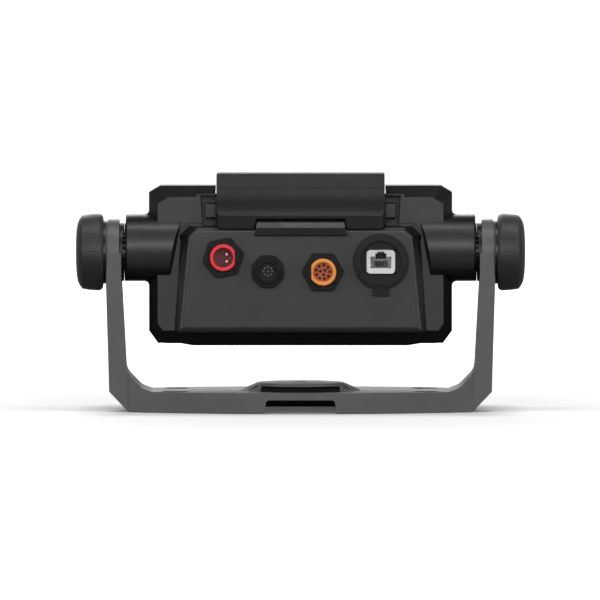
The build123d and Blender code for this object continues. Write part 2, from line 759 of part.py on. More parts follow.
def network_contacts():
    """Eight spring contacts of the jack."""
    x, z = NETWORK_AT
    contacts = []
    for index in range(8):
        px = x - 3.57 + 1.02 * index
        leg = block(px - 0.2, px + 0.2, BOARD_Y, 14.0, z - 3.4, z - 3.0)
        spring = prism_x([(14.0, z - 3.4), (24.4, z - 3.4), (24.4, z - 3.0), (15.0, z + 0.6),
                          (14.0, z + 0.6)], px - 0.2, px + 0.2)
        contacts.append(leg + spring)
    return contacts


# ---- Latch ------------------------------------------------------------------------
def hood_outline():
    """Side outline of the hood: hook at the front, flared lip at the rear."""
    top = Polyline(
        (0, -17.4, 118.9), (0, -17.4, 131.6), (0, -15.2, HOOD_TOP_Z), (0, 12.0, HOOD_TOP_Z),
        (0, 19.5, 127.0))
    flare = ThreePointArc((0, 19.5, 127.0), (0, 21.1, 118.6), (0, 25.5, 111.0))
    under = Polyline(
        (0, 25.5, 111.0), (0, 25.0, HOOD_LIP_Z), (0, 22.4, HOOD_LIP_Z), (0, 22.4, 105.2),
        (0, 7.0, 105.2), (0, 7.0, 123.2), (0, -9.2, 123.2), (0, -13.6, 118.9),
        (0, -17.4, 118.9))
    return make_face([top, flare, under])


def hood_bosses(radius, y0, y1):
    """Four rods where the hood is screwed to the slide."""
    return [rod_y(radius, y0, y1, x, z) for x in (-34, 34) for z in (112, 119)]


def latch_hood():
    """Hood of the release latch, hollow, open in front and below."""
    half = HOOD_HALF - HOOD_WALL
    hood = extrude(hood_outline(), amount=HOOD_HALF, dir=(1, 0, 0), both=True)
    front = [(-HOOD_HALF, HOOD_LIP_Z), (HOOD_HALF, HOOD_LIP_Z), (HOOD_HALF, HOOD_TOP_Z),
             (-HOOD_HALF, HOOD_TOP_Z)]
    corners = FilletPolyline(*[(x, -20, z) for x, z in front], radius=[3.2, 3.2, 0.9, 0.9], close=True)
    hood &= extrude(make_face(corners), amount=50, dir=(0, 1, 0))
    plan = [(-HOOD_HALF, -20), (HOOD_HALF, -20), (HOOD_HALF, 25.6), (-HOOD_HALF, 25.6)]
    ends = FilletPolyline(*[(x, y, 100) for x, y in plan], radius=[0.9, 0.9, 2.4, 2.4], close=True)
    hood &= extrude(make_face(ends), amount=50, dir=(0, 0, 1))
    cavity = [(6.9, 104), (19.8, 104), (19.8, 107.6), (22.2, 111.0), (19.6, 114.4), (18.2, 119),
              (16.9, 126.0), (10.9, 131.8), (-7.4, 131.8), (-7.4, 123.1), (6.9, 123.1)]
    hood -= prism_x(cavity, -half, half)
    notch = [(-26.6, 102), (26.6, 102), (25.0, 109.2), (-25.0, 109.2)]
    hood -= prism_y(notch, 18.5, 28)
    for boss in hood_bosses(3.0, 7.0, 23.5):
        hood += boss & extrude(hood_outline(), amount=HOOD_HALF, dir=(1, 0, 0), both=True)
    for hole in hood_bosses(1.1, 6.0, 15.0):
        hood -= hole
    return hood


def latch_slide():
    """Plate that carries the hood and runs between the rails."""
    tongue = NOTCH_TOP_HALF - 0.6
    slide = block(-SLIDE_HALF, SLIDE_HALF, BAY_FLOOR_Y + 0.3, 6.8, SLIDE_Z0, 112.4)
    slide += block(-tongue, tongue, BAY_FLOOR_Y + 0.3, 6.8, SLIDE_Z0, SLIDE_Z1)
    for x in (-SPRING_X, SPRING_X):
        slide -= block(x - 3.4, x + 3.4, 3, 8, SLIDE_Z0 - 1, 119.6)
    for hole in hood_bosses(1.3, 3, 8):
        slide -= hole
    for bore in hood_bosses(2.5, 3, 5.6):
        slide -= bore
    return slide


def latch_screws():
    """Screws from the slide into the hood."""
    screws = []
    for shank, head in zip(hood_bosses(1.05, 5.6, 14.5), hood_bosses(2.3, 4.6, 5.6)):
        screws.append(shank + head)
    return screws


def latch_springs():
    """Coil springs that pull the latch down."""
    springs = []
    for x in (-SPRING_X, SPRING_X):
        coil = Helix(pitch=1.1, height=8.8, radius=2.1)
        wire = Plane(origin=coil @ 0, z_dir=coil % 0) * Circle(0.35)
        spring = sweep(wire, path=coil, is_frenet=True)
        springs.append(Pos(x, 7.2, 109.2) * spring)
    return springs


# ---- Display head -----------------------------------------------------------------
def head_outline(inset, y):
    """Front outline of the head: rounded corners and a slightly lower middle."""
    half = HEAD_HALF - inset
    low = HEAD_Z0 + inset
    chin = CHIN_Z + inset
    top = HEAD_Z1 - inset
    points = [(-half, low), (-68, low), (-61, chin), (61, chin), (68, low), (half, low),
              (half, top), (-half, top)]
    corner = HEAD_CORNER_R - inset
    radii = [corner, 2.0, 2.0, 2.0, 2.0, corner, corner, corner]
    path = FilletPolyline(*[(x, y, z) for x, z in points], radius=radii, close=True)
    return make_face(path)


def head_slab(inset, y0, y1):
    """Slab of the head's outline."""
    return extrude(head_outline(inset, y0), amount=y1 - y0, dir=(0, 1, 0))


def front_bezel():
    """Front frame of the head, with openings for screen, keys and card door."""
    bezel = head_slab(0.0, HEAD_FRONT_Y, SEAM_Y - 0.6)
    front = bezel.faces().sort_by(Axis.Y)[0]
    bezel = chamfer(front.outer_wire().edges(), 0.9)
    bezel -= head_slab(2.4, HEAD_FRONT_Y + 2.4, SEAM_Y)
    bezel -= rounded_block(GLASS_W + 0.4, GLASS_H + 0.4, 3.2, -41, -38.0, SCREEN_X, SCREEN_Z)
    bezel -= block(SCREEN_X - 68.4, SCREEN_X + 68.4, -41, -36, SCREEN_Z - 37.9, SCREEN_Z + 37.9)
    for z in KEY_ZS:
        bezel -= rounded_block(KEY_W + 0.5, KEY_H + 0.5, 2.2, -41, -37, KEY_X, z)
    bezel -= block(DOOR_X0 - 0.3, DOOR_X1 + 0.3, -41, -38.1, DOOR_Z0 - 0.3, DOOR_PIN_Z + 1.5)
    bezel -= rod_x(1.3, DOOR_X0 - 0.3, DOOR_X1 + 0.3, DOOR_PIN_Y, DOOR_PIN_Z)
    bezel -= block(DOOR_X0 + 2, DOOR_X1 - 2, -41, -37, DOOR_Z0 + 2, DOOR_PIN_Z - 2.0)
    bezel -= rod_x(0.6, DOOR_X0 - 1.8, DOOR_X1 + 1.8, DOOR_PIN_Y, DOOR_PIN_Z)
    bezel &= head_slab(0.0, HEAD_FRONT_Y - 1, SEAM_Y)
    return bezel


def cover_glass():
    """Cover glass, just below the bezel's front face."""
    y0 = HEAD_FRONT_Y + 0.3
    return rounded_block(GLASS_W, GLASS_H, 3.0, y0, y0 + GLASS_T, SCREEN_X, SCREEN_Z)


def display_panel():
    """Display panel behind the glass."""
    x0 = SCREEN_X - SCREEN_W / 2 - 1.5
    x1 = SCREEN_X + SCREEN_W / 2 + 1.5
    z0 = SCREEN_Z - SCREEN_H / 2 - 0.4
    z1 = SCREEN_Z + SCREEN_H / 2 + 0.4
    return block(x0, x1, -37.9, -33.6, z0, z1)


def chassis_plate():
    """Metal plate behind the display, with a folded lower edge."""
    plate = block(-79, 60, -33.0, -31.8, 41, 117)
    plate += block(-79, 60, -31.8, -26.0, 41, 42.2)
    return plate


def head_gasket():
    """Seal between the bezel and the rear housing."""
    return head_slab(0.7, SEAM_Y - 0.6, SEAM_Y) - head_slab(2.3, SEAM_Y - 1, SEAM_Y + 1)


def rear_housing():
    """Rear half of the head, stepped in where it enters the cradle."""
    nest = octagon(NEST_HALF, NEST_Z0, NEST_Z1, 4.4, 6.0, 5.0, 3.0)
    inner = octagon(NEST_HALF - HEAD_WALL, NEST_Z0 + HEAD_WALL, NEST_Z1 - HEAD_WALL,
                    3.6, 5.0, 4.2, 2.5)
    body = head_slab(0.0, SEAM_Y, NEST_Y)
    body += prism_y(nest, NEST_Y, HEAD_REAR_Y)
    ridge = [(-13.0, NEST_Z1 - 0.5), (-13.0, NEST_Z1), (-10.0, 121.3), (-7.4, 121.3),
             (-6.4, NEST_Z1 - 0.5)]
    body += prism_x(ridge, -RIDGE_HALF, RIDGE_HALF)
    body -= head_slab(2.4, SEAM_Y - 1, NEST_Y - 2.3)
    body -= prism_y(inner, SEAM_Y, HEAD_REAR_Y - 2.5)
    for x in (-40, 40):
        body += block(x - 12, x + 12, HEAD_REAR_Y, 5.4, 45.6, 49.4)
    for x in range(-15, 16, 6):
        for z in (66, 72):
            body -= rod_y(1.4, -3, 2, x, z)
    for x, z in screw_places():
        body += rod_y(2.6, SEAM_Y + 1.0, HEAD_REAR_Y - 1, x, z)
        body -= rod_y(1.3, SEAM_Y - 1, HEAD_REAR_Y + 1, x, z)
        body -= rod_y(2.4, HEAD_REAR_Y - 1.8, HEAD_REAR_Y + 1, x, z)
    return body


def screw_places():
    """Screws that close the head, X and Z."""
    return [(-72, 48.5), (-8, 48.5), (56, 48.5), (-72, 112.5), (0, 112.5), (72, 112.5)]


def head_screws():
    """Screws that close the head, driven from behind."""
    screws = []
    for x, z in screw_places():
        screws.append(rod_y(1.25, SEAM_Y + 1.0, -0.8, x, z) + rod_y(2.2, -0.8, 0.6, x, z))
    return screws


def contact_pads():
    """Contact pads in the housing's rear wall."""
    return [rod_y(1.35, -2.4, HEAD_REAR_Y, x, z) for x in range(-15, 16, 6) for z in (66, 72)]


def main_board():
    """Main board, clear of the housing's screw posts."""
    board = block(-66, 66, -25.0, -23.4, 46, 114)
    for x, z in screw_places():
        board -= rod_y(4.0, -26, -22, x, z)
    return board


def antenna():
    """Ceramic patch antenna on the main board."""
    return block(-40, -15, -23.4, -19.4, 84, 109) + rod_y(1.2, -19.4, -19.0, -27.5, 97)


def beeper():
    """Beeper on the main board, with its sound hole."""
    return rod_y(6.0, -23.4, -18.4, 44, 62) - rod_y(0.9, -19.4, -18.0, 44, 62)


def key_board():
    """Switch board behind the keys."""
    board = block(62.0, 79.4, -35.8, -34.6, 54.0, 116.5)
    for z in KEY_ZS:
        board += rod_y(2.4, -36.0, -35.8, KEY_X, z)
    return board


def key_cap(z):
    """One key: a rounded cap with a flange behind the bezel."""
    cap = rounded_block(KEY_W, KEY_H, 2.0, HEAD_FRONT_Y - KEY_PROUD, -37.4, KEY_X, z)
    cap = chamfer(cap.faces().sort_by(Axis.Y)[0].edges(), 0.5)
    return cap + rounded_block(KEY_W + 1.6, KEY_H + 1.6, 2.4, -37.4, -36.9, KEY_X, z)


def card_reader():
    """Reader with two card slots, behind the door."""
    reader = block(DOOR_X0 + 1, DOOR_X1 - 1, -37.5, -26.5, DOOR_Z0 + 1.4, DOOR_PIN_Z - 1.0)
    for z in (43.2, 46.8):
        reader -= block(KEY_X - 5.8, KEY_X + 5.8, -38, -29, z - 0.65, z + 0.65)
    return reader


def card_door():
    """Door over the card slots, with a knuckle along its top edge."""
    door = block(DOOR_X0, DOOR_X1, HEAD_FRONT_Y, -38.3, DOOR_Z0, DOOR_PIN_Z)
    door += rod_x(1.1, DOOR_X0, DOOR_X1, DOOR_PIN_Y, DOOR_PIN_Z)
    door -= rod_x(0.62, DOOR_X0 - 1, DOOR_X1 + 1, DOOR_PIN_Y, DOOR_PIN_Z)
    door -= block(KEY_X - 4, KEY_X + 4, HEAD_FRONT_Y - 1, HEAD_FRONT_Y + 0.5, DOOR_Z0 - 1, 41.0)
    return door


def door_pin():
    """Hinge pin of the card door."""
    return rod_x(0.6, DOOR_X0 - 1.8, DOOR_X1 + 1.8, DOOR_PIN_Y, DOOR_PIN_Z)


# ---- Write every node -------------------------------------------------------------
save("bail_bracket", bail_bracket())
save("hub_cap", hub_cap())
save("hub_cap_screw", cap_screw())
save("hub_pad", hub_pad())
save("arm_toothed_discs", *arm_discs())
save("boss_toothed_discs", *boss_discs())
for name, side in (("right", 1), ("left", -1)):
    save(f"knob_grip_{name}", knob_grip(side))
    save(f"knob_stud_{name}", knob_stud(side))
    save(f"knob_washer_{name}", knob_washer(side))
save("cradle_shell", cradle_shell())
save("thread_inserts", *thread_inserts())
save("guide_rails", *guide_rails())
save("finger_ledge", finger_ledge())
save("dock_plate", dock_plate())
save("dock_screws", *dock_screws())
save("wiring_board", wiring_board())
save("dock_connector", dock_connector())
save("spring_pins", *spring_pins())
save("socket_seals", *seal_rings())
save("power_socket", power_socket())
save("power_insert", power_insert())
save("power_pins", *power_pins())
save("power_nut", hex_nut(POWER_AT, 12, 7.85))
save("data_socket", data_socket())
save("data_insert", data_insert())
save("data_pins", *data_pins())
save("data_nut", data_nut())
save("sonar_socket", keyed_shell(SONAR_AT, 1))
save("sonar_insert", sonar_insert())
save("sonar_nut", hex_nut(SONAR_AT, 0, 7.85))
save("network_collar", network_collar())
save("network_jack", network_jack())
save("network_contacts", *network_contacts())
save("latch_hood", latch_hood())
save("latch_slide", latch_slide())
save("latch_screws", *latch_screws())
save("latch_springs", *latch_springs())
save("front_bezel", front_bezel())
save("cover_glass", cover_glass())
save("display_panel", display_panel())
save("chassis_plate", chassis_plate())
save("head_gasket", head_gasket())
save("rear_housing", rear_housing())
save("head_screws", *head_screws())
save("contact_pads", *contact_pads())
save("main_board", main_board())
save("antenna", antenna())
save("beeper", beeper())
save("key_board", key_board())
for name, z in zip(KEY_NAMES, KEY_ZS):
    save(f"key_{name}", key_cap(z))
save("card_reader", card_reader())
save("card_door", card_door())
save("card_door_pin", door_pin())
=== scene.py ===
import json
import math
import bmesh
import bpy
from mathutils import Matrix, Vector


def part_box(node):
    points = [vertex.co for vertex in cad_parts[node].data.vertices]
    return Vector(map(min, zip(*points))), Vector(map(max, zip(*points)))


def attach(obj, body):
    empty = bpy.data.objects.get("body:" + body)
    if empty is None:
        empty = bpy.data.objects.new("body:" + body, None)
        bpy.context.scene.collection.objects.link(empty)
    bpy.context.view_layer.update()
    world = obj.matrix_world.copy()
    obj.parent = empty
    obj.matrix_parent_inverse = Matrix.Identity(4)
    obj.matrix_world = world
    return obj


# Looks, key symbols, studio and camera of the chartplotter display, in metres.
MM = 0.001
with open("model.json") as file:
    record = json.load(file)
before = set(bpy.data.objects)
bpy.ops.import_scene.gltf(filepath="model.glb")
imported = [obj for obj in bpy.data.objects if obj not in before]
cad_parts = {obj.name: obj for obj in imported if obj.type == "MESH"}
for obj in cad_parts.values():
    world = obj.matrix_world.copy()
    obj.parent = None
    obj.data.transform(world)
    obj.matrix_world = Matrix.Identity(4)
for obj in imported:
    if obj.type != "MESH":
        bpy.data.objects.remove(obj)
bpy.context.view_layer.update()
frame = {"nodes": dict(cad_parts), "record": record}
nodes = frame["nodes"]

# ---- Surface detail ---------------------------------------------------------------
FLOW_MM = 14.0             # patches of the flow mottling in moulded plastic
FLOW_SHARE = 0.65          # the rest of the mottling is fine specks
SPECK_MM = 0.9
GLOSS_PATCH_MM = 6.0
RUB_PATCH_MM = 2.5
WORN_GAIN = 1.9            # a rubbed edge is this much lighter than the colour
WORN_LIFT = 0.012
WORN_GLOSS = 0.25
COAT_ROUGH = 0.12
BEVEL_SAMPLES = 4
EDGE_TURN = 0.93           # cosine between bevelled and true normal on a fully worn edge
FACE_TURN = 0.995          # and where the wear stops
MARK_MM = 0.12             # tool marks in metal
MARK_STRETCH = 0.08
STAIN_MM = 3.0

# ---- Studio -----------------------------------------------------------------------
FLOOR_HALF = 60.0
FLOOR_CELLS = 40
FLOOR_DROP = 0.2 * MM
PAPER_DARK = (0.84, 0.84, 0.84, 1.0)
PAPER_LIGHT = (0.87, 0.87, 0.87, 1.0)
FLOOR_GLOW = 0.38          # painted glow of the floor at the object, rising to 1 further off; the dimmer glow near the object is painted shade
GLOW_NEAR = 0.16           # distances from the object between which it rises
GLOW_FAR = 0.7
BACK_WHITE = 1.7           # white wall behind the object
ROOM_HIGH = 0.035          # the rest of the room, above and below
ROOM_LOW = 0.008
OVERHEAD_W = 11.0
FRONT_W = 20.0
SCREEN_SIDE_W = 14.0
SIDE_W = 10.0
AIM_HEIGHT = 0.06          # the front lights face this height
SIDE_AIM_HEIGHT = 0.08     # the overhead and side lights face this one
CAMERA_LENS = 637.0
CAMERA_AWAY = 6.0
CAMERA_ELEVATION = 2.4     # degrees
CAMERA_TARGET = (0.0003, 0.0, 0.0624)


# ---- Material helpers -------------------------------------------------------------
materials = {}             # every material made so far, by the name it was asked for


def linear(srgb):
    """Linear colour from sRGB values between 0 and 255."""
    out = []
    for value in srgb:
        c = value / 255
        out.append(c / 12.92 if c <= 0.04045 else ((c + 0.055) / 1.055) ** 2.4)
    return (*out, 1.0)


def scaled(colour, gain, lift=0.0):
    """Colour made lighter or darker, up to white."""
    return tuple(min(1.0, c * gain + lift) for c in colour[:3]) + (1.0,)


def new_material(name):
    """Material with an empty node tree but for its shader and output."""
    material = bpy.data.materials.new(name)
    materials[name] = material
    material.use_nodes = True
    tree = material.node_tree
    return material, tree, tree.nodes["Principled BSDF"]


def add(tree, kind, **values):
    """New node; values are set on its properties or on its input sockets."""
    node = tree.nodes.new("ShaderNode" + kind)
    for key, value in values.items():
        if hasattr(node, key):
            setattr(node, key, value)
        else:
            node.inputs[key.replace("_", " ")].default_value = value
    return node


def join(tree, source, target, out=0):
    """Link a named or numbered output of one node to a socket of another."""
    node, socket = target
    tree.links.new(source.outputs[out], node.inputs[socket])


def math_node(tree, operation, first, second=0.0):
    """Math node; each side is a node or a number."""
    node = add(tree, "Math", operation=operation)
    for index, side in enumerate((first, second)):
        if isinstance(side, (int, float)):
            node.inputs[index].default_value = side
        else:
            join(tree, side, (node, index))
    return node


def product(tree, *factors):
    """All factors multiplied together."""
    result = factors[0]
    for factor in factors[1:]:
        result = math_node(tree, "MULTIPLY", result, factor)
    return result


def remap(tree, source, low, high, to_low, to_high, out=0):
    """Map Range node with its ends clamped."""
    node = add(tree, "MapRange")
    for index, value in enumerate((low, high, to_low, to_high)):
        node.inputs[index + 1].default_value = value
    join(tree, source, (node, 0), out)
    return node


def noise(tree, coords, size_mm, detail, rough):
    """Noise whose features are about size_mm across."""
    node = add(tree, "TexNoise", Scale=1.0 / (size_mm * MM), Detail=detail, Roughness=rough)
    join(tree, coords, (node, "Vector"), "Object")
    return node


def patches(tree, coords, size_mm, detail, rough, low, high, to_low, to_high):
    """Noise with its middle range, from low to high, spread over new limits."""
    return remap(tree, noise(tree, coords, size_mm, detail, rough), low, high, to_low, to_high)


def blend_colours(tree, factor, first, second):
    """Mix of two colours by a factor node. Each colour is a tuple or a node."""
    node = tree.nodes.new("ShaderNodeMix")
    node.data_type = "RGBA"
    join(tree, factor, (node, 0))
    for index, side in ((6, first), (7, second)):
        if isinstance(side, tuple):
            node.inputs[index].default_value = side
        else:
            tree.links.new(colour_out(side), node.inputs[index])
    return node


def colour_out(node):
    """Colour output of a Mix or of any other node."""
    return node.outputs[2] if node.bl_idname == "ShaderNodeMix" else node.outputs[0]


def paint(tree, shader, colour):
    """Link a colour node to the shader's base colour."""
    tree.links.new(colour_out(colour), shader.inputs["Base Color"])


def edge_mask(tree, radius_mm):
    """1 on sharp outer edges and 0 on faces, from the bevelled normal."""
    bevel = add(tree, "Bevel", samples=BEVEL_SAMPLES, Radius=radius_mm * MM)
    dot = add(tree, "VectorMath", operation="DOT_PRODUCT")
    join(tree, bevel, (dot, 0))
    join(tree, add(tree, "NewGeometry"), (dot, 1), "Normal")
    return remap(tree, dot, EDGE_TURN, FACE_TURN, 1.0, 0.0, "Value")


def rounded_bump(tree, shader, height, strength, depth_mm, round_mm):
    """Surface relief from a height node, over edges that are shaded round."""
    bevel = add(tree, "Bevel", samples=BEVEL_SAMPLES, Radius=round_mm * MM)
    bump = add(tree, "Bump", Strength=strength, Distance=depth_mm * MM)
    join(tree, height, (bump, "Height"))
    join(tree, bevel, (bump, "Normal"))
    join(tree, bump, (shader, "Normal"))


# ---- Masks by place, each 0 where a material has its second colour ----------------
# Where each mask changes, in mm.
# WING_FACE_Y to REAR_FACING shape the cradle's painted shade mask.
WING_FACE_Y = (8.4, 9.2)
POD_SIDE_Y = (11.4, 12.0)
POD_HALF_X = (68.0, 70.0)
POD_FADE_Z = (85.0, 100.0)
REAR_FACING = (0.72, 0.93)     # how squarely a face looks to the rear, 1 when it looks straight
BETWEEN_SOCKETS_X = (28.0, 32.0)
BEHIND_BOARD_Y = (8.0, 12.0)
# NUT_FLOOR_Y bounds the painted shade down in the nuts.
NUT_FLOOR_Y = (0.7, 1.5)       # above the face that the nut sits on
# The NOTCH limits bound the painted shade in the network jack's latch notch.
NOTCH_HALF_X = (2.9, 3.1)      # from the middle of the network jack, as the next two
NOTCH_LOW_Z = (0.8, 1.1)
NOTCH_TOP_Z = (4.75, 4.9)
NOTCH_DEPTH_Y = (17.0, 21.0)


def axis_value(tree, coords, axis, out="Object", absolute=False):
    """One component of the object coordinates, or of the normal."""
    parts = add(tree, "SeparateXYZ")
    join(tree, coords, (parts, 0), out)
    value = add(tree, "Math", operation="ABSOLUTE" if absolute else "ADD")
    join(tree, parts, (value, 0), axis)
    value.inputs[1].default_value = 0.0
    return value


def ramp_between(tree, place, limits_mm, rising=True):
    """From 0 to 1 as a place passes two limits, or from 1 to 0 where it isn't rising."""
    low, high = limits_mm
    ends = (0.0, 1.0) if rising else (1.0, 0.0)
    return remap(tree, place, low * MM, high * MM, *ends)


def ramp(tree, coords, axis, limits_mm, rising=True, absolute=False):
    """The same along one axis of the object."""
    place = axis_value(tree, coords, axis, absolute=absolute)
    return ramp_between(tree, place, limits_mm, rising)


def painted_flank_shade(tree, coords):
    """Painted shade: 0 darkens the cradle's faces turned away from the rear and its rear faces sunk
    below the wing face, as in the latch bay; 1 on the other rear faces and the pod below its top.
    """
    facing = axis_value(tree, coords, "Y", "Normal", absolute=True)
    square_on = remap(tree, facing, *REAR_FACING, 0.0, 1.0)
    wings = product(tree, square_on, ramp(tree, coords, "Y", WING_FACE_Y))
    pod = product(
        tree,
        ramp(tree, coords, "Y", POD_SIDE_Y),
        ramp(tree, coords, "X", POD_HALF_X, rising=False, absolute=True),
        ramp(tree, coords, "Z", POD_FADE_Z, rising=False),
    )
    return math_node(tree, "MAXIMUM", wings, pod)


def power_side(tree, coords):
    """1 on the power socket's pins and 0 on the data socket's."""
    return ramp(tree, coords, "X", BETWEEN_SOCKETS_X)


def dock_side(tree, coords):
    """1 on the contacts between head and cradle, 0 on the network jack's."""
    return ramp(tree, coords, "Y", BEHIND_BOARD_Y, rising=False)


def painted_nut_shade(tree, coords):
    """Painted shade: 1 on the part of a coloured socket that stands out of its nut, 0 down in the
    nut, where its colour is darkened.
    """
    floor_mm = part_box("sonar_nut")[0].y / MM
    return ramp(tree, coords, "Y", [floor_mm + step for step in NUT_FLOOR_Y])


def painted_notch_shade(tree, coords):
    """Painted shade: 0 deep in the network jack's latch notch, painted near black, 1 on the rest of
    the housing.
    """
    low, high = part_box("network_jack")
    middle = (low + high) / 2
    sideways = math_node(tree, "SUBTRACT", axis_value(tree, coords, "X"), middle.x)
    across = math_node(tree, "ABSOLUTE", sideways)
    height = math_node(tree, "SUBTRACT", axis_value(tree, coords, "Z"), middle.z)
    hole = product(
        tree,
        ramp_between(tree, across, NOTCH_HALF_X, rising=False),
        ramp_between(tree, height, NOTCH_LOW_Z),
        ramp_between(tree, height, NOTCH_TOP_Z, rising=False),
        ramp(tree, coords, "Y", NOTCH_DEPTH_Y, rising=False),
    )
    return math_node(tree, "SUBTRACT", 1.0, hole)


def painted_depth_shade(node, fade_mm):
    """Painted shade mask function: 1 at the rear end of a node and 0 deeper inside it, where its
    colour is darkened.
    """
    def mask(tree, coords):
        rear_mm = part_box(node)[1].y / MM
        return ramp(tree, coords, "Y", (rear_mm - fade_mm, rear_mm - 0.2 * fade_mm))
    return mask


# ---- Materials --------------------------------------------------------------------
def moulded(name, colour, rough, grain_mm, depth_mm, mottle, edge, round_mm,
            specular=0.5, coat=0.0, sheen=0.0, second=None):
    """Moulded plastic or rubber: spark-eroded grain, faint flow mottling, rubbed edges.

    second is a mask function and the colour used where that mask is 0; each use here paints shade on
    flanks and down in recesses and holes.
    """
    material, tree, shader = new_material(name)
    base = linear(colour)
    coords = add(tree, "TexCoord")
    flow = patches(tree, coords, FLOW_MM, 3.0, 0.5, 0.35, 0.65, 0.0, 1.0)
    speck = patches(tree, coords, SPECK_MM, 2.0, 0.5, 0.4, 0.6, 0.0, 1.0)
    patch = math_node(tree, "ADD", product(tree, flow, FLOW_SHARE),
                      product(tree, speck, 1 - FLOW_SHARE))
    body = blend_colours(tree, patch, scaled(base, 1 - mottle), scaled(base, 1 + mottle))
    # Where the mask is 0 the second colour is painted shade.
    if second:
        mask, other = second
        body = blend_colours(tree, mask(tree, coords), linear(other), body)
    rub = product(tree, edge_mask(tree, round_mm * 1.6),
                  patches(tree, coords, RUB_PATCH_MM, 4.0, 0.65, 0.42, 0.68, 0.0, edge))
    paint(tree, shader, blend_colours(tree, rub, body, scaled(base, WORN_GAIN, WORN_LIFT)))
    gloss = patches(tree, coords, GLOSS_PATCH_MM, 4.0, 0.6, 0.3, 0.7, rough - 0.05, rough + 0.06)
    polished = math_node(tree, "SUBTRACT", gloss, product(tree, rub, WORN_GLOSS))
    join(tree, polished, (shader, "Roughness"))
    fine = noise(tree, coords, grain_mm, 2.0, 0.55)
    cell = add(tree, "TexVoronoi", Scale=1.0 / (grain_mm * 1.7 * MM))
    join(tree, coords, (cell, "Vector"), "Object")
    height = math_node(tree, "ADD", fine, product(tree, cell, 0.5))
    rounded_bump(tree, shader, height, 1.0, depth_mm, round_mm)
    shader.inputs["Specular IOR Level"].default_value = specular
    shader.inputs["Coat Weight"].default_value = coat
    shader.inputs["Coat Roughness"].default_value = COAT_ROUGH
    shader.inputs["Sheen Weight"].default_value = sheen
    return material


def metal(name, colour, rough=0.30, axis=0, depth_mm=0.006, tarnish=0.25, round_mm=0.12,
          second=None):
    """Turned or drawn metal: fine marks along one axis, faint tarnish, bright edges.

    second is a mask function and the colour used where that mask is 0.
    """
    material, tree, shader = new_material(name)
    base = linear(colour)
    coords = add(tree, "TexCoord")
    stretch = add(tree, "Mapping")
    scale = [1.0, 1.0, 1.0]
    scale[axis] = MARK_STRETCH
    stretch.inputs["Scale"].default_value = scale
    join(tree, coords, (stretch, "Vector"), "Object")
    marks = add(tree, "TexNoise", Scale=1.0 / (MARK_MM * MM), Detail=3.0)
    join(tree, stretch, (marks, "Vector"))
    stain = patches(tree, coords, STAIN_MM, 5.0, 0.6, 0.4, 0.7, 0.0, 1.0)
    body = blend_colours(tree, stain, base, scaled(base, 1 - tarnish))
    body = blend_colours(tree, edge_mask(tree, round_mm * 2), body, scaled(base, 1.25))
    if second:
        mask, tone = second
        other = linear(tone)
        other_body = blend_colours(tree, stain, other, scaled(other, 1 - tarnish))
        body = blend_colours(tree, mask(tree, coords), other_body, body)
    paint(tree, shader, body)
    shader.inputs["Metallic"].default_value = 1.0
    join(tree, remap(tree, marks, 0.3, 0.7, rough - 0.08, rough + 0.12), (shader, "Roughness"))
    rounded_bump(tree, shader, marks, 0.8, depth_mm, round_mm)
    return material


def circuit_board(name):
    """Solder-masked board: buried tracks on a 1.3 mm pitch, and dots of bare metal."""
    track_pitch, track_length, track_gap = 1.3 * MM, 8.7 * MM, 0.18 * MM
    via_spacing = 4.0 * MM
    material, tree, shader = new_material(name)
    coords = add(tree, "TexCoord")
    tracks = add(tree, "TexBrick", Scale=1.0, Color1=(0, 0, 0, 1), Color2=(0.4, 0.4, 0.4, 1),
                 Mortar=(1, 1, 1, 1), Mortar_Size=track_gap, Brick_Width=track_length,
                 Row_Height=track_pitch)
    turn = add(tree, "Mapping")
    turn.inputs["Rotation"].default_value = (math.radians(90), 0, 0)
    join(tree, coords, (turn, "Vector"), "Object")
    join(tree, turn, (tracks, "Vector"))
    mask = blend_colours(tree, tracks, linear((14, 74, 44)), linear((30, 112, 66)))
    vias = add(tree, "TexVoronoi", Scale=1.0 / via_spacing)
    join(tree, coords, (vias, "Vector"), "Object")
    dots = remap(tree, vias, 0.10, 0.13, 1.0, 0.0)
    paint(tree, shader, blend_colours(tree, dots, mask, linear((196, 176, 120))))
    join(tree, patches(tree, coords, 2.0, 3.0, 0.5, 0.3, 0.7, 0.26, 0.4), (shader, "Roughness"))
    bump = add(tree, "Bump", Strength=0.6, Distance=0.03 * MM)
    join(tree, tracks, (bump, "Height"), "Fac")
    join(tree, bump, (shader, "Normal"))
    return material


def cover_glass(name):
    """Cover glass: dark, clear, with a faint coating tint and a few smears."""
    material, tree, shader = new_material(name)
    coords = add(tree, "TexCoord")
    smear = patches(tree, coords, 22.0, 5.0, 0.62, 0.5, 0.75, 0.03, 0.10)
    join(tree, smear, (shader, "Roughness"))
    tint = patches(tree, coords, 60.0, 2.0, 0.5, 0.3, 0.7, 0.0, 1.0)
    paint(tree, shader, blend_colours(tree, tint, linear((10, 12, 16)), linear((13, 15, 22))))
    shader.inputs["Alpha"].default_value = 0.45
    shader.inputs["IOR"].default_value = 1.5
    shader.inputs["Coat Weight"].default_value = 0.6
    shader.inputs["Coat Roughness"].default_value = 0.03
    bevel = add(tree, "Bevel", samples=BEVEL_SAMPLES, Radius=0.3 * MM)
    join(tree, bevel, (shader, "Normal"))
    return material


def display(name):
    """Unlit display: a fine grid, just under 1 mm apart, under a satin film."""
    band_scale = 1.0 / (0.15 * MM) / 20
    material, tree, shader = new_material(name)
    coords = add(tree, "TexCoord")
    waves = []
    for direction in ("X", "Z"):
        wave = add(tree, "TexWave", Scale=band_scale, Distortion=0.0, bands_direction=direction)
        join(tree, coords, (wave, "Vector"), "Object")
        waves.append(wave)
    grid = product(tree, *waves)
    paint(tree, shader, blend_colours(tree, grid, linear((9, 11, 15)), linear((24, 28, 38))))
    join(tree, patches(tree, coords, 30.0, 3.0, 0.5, 0.3, 0.7, 0.16, 0.24), (shader, "Roughness"))
    return material


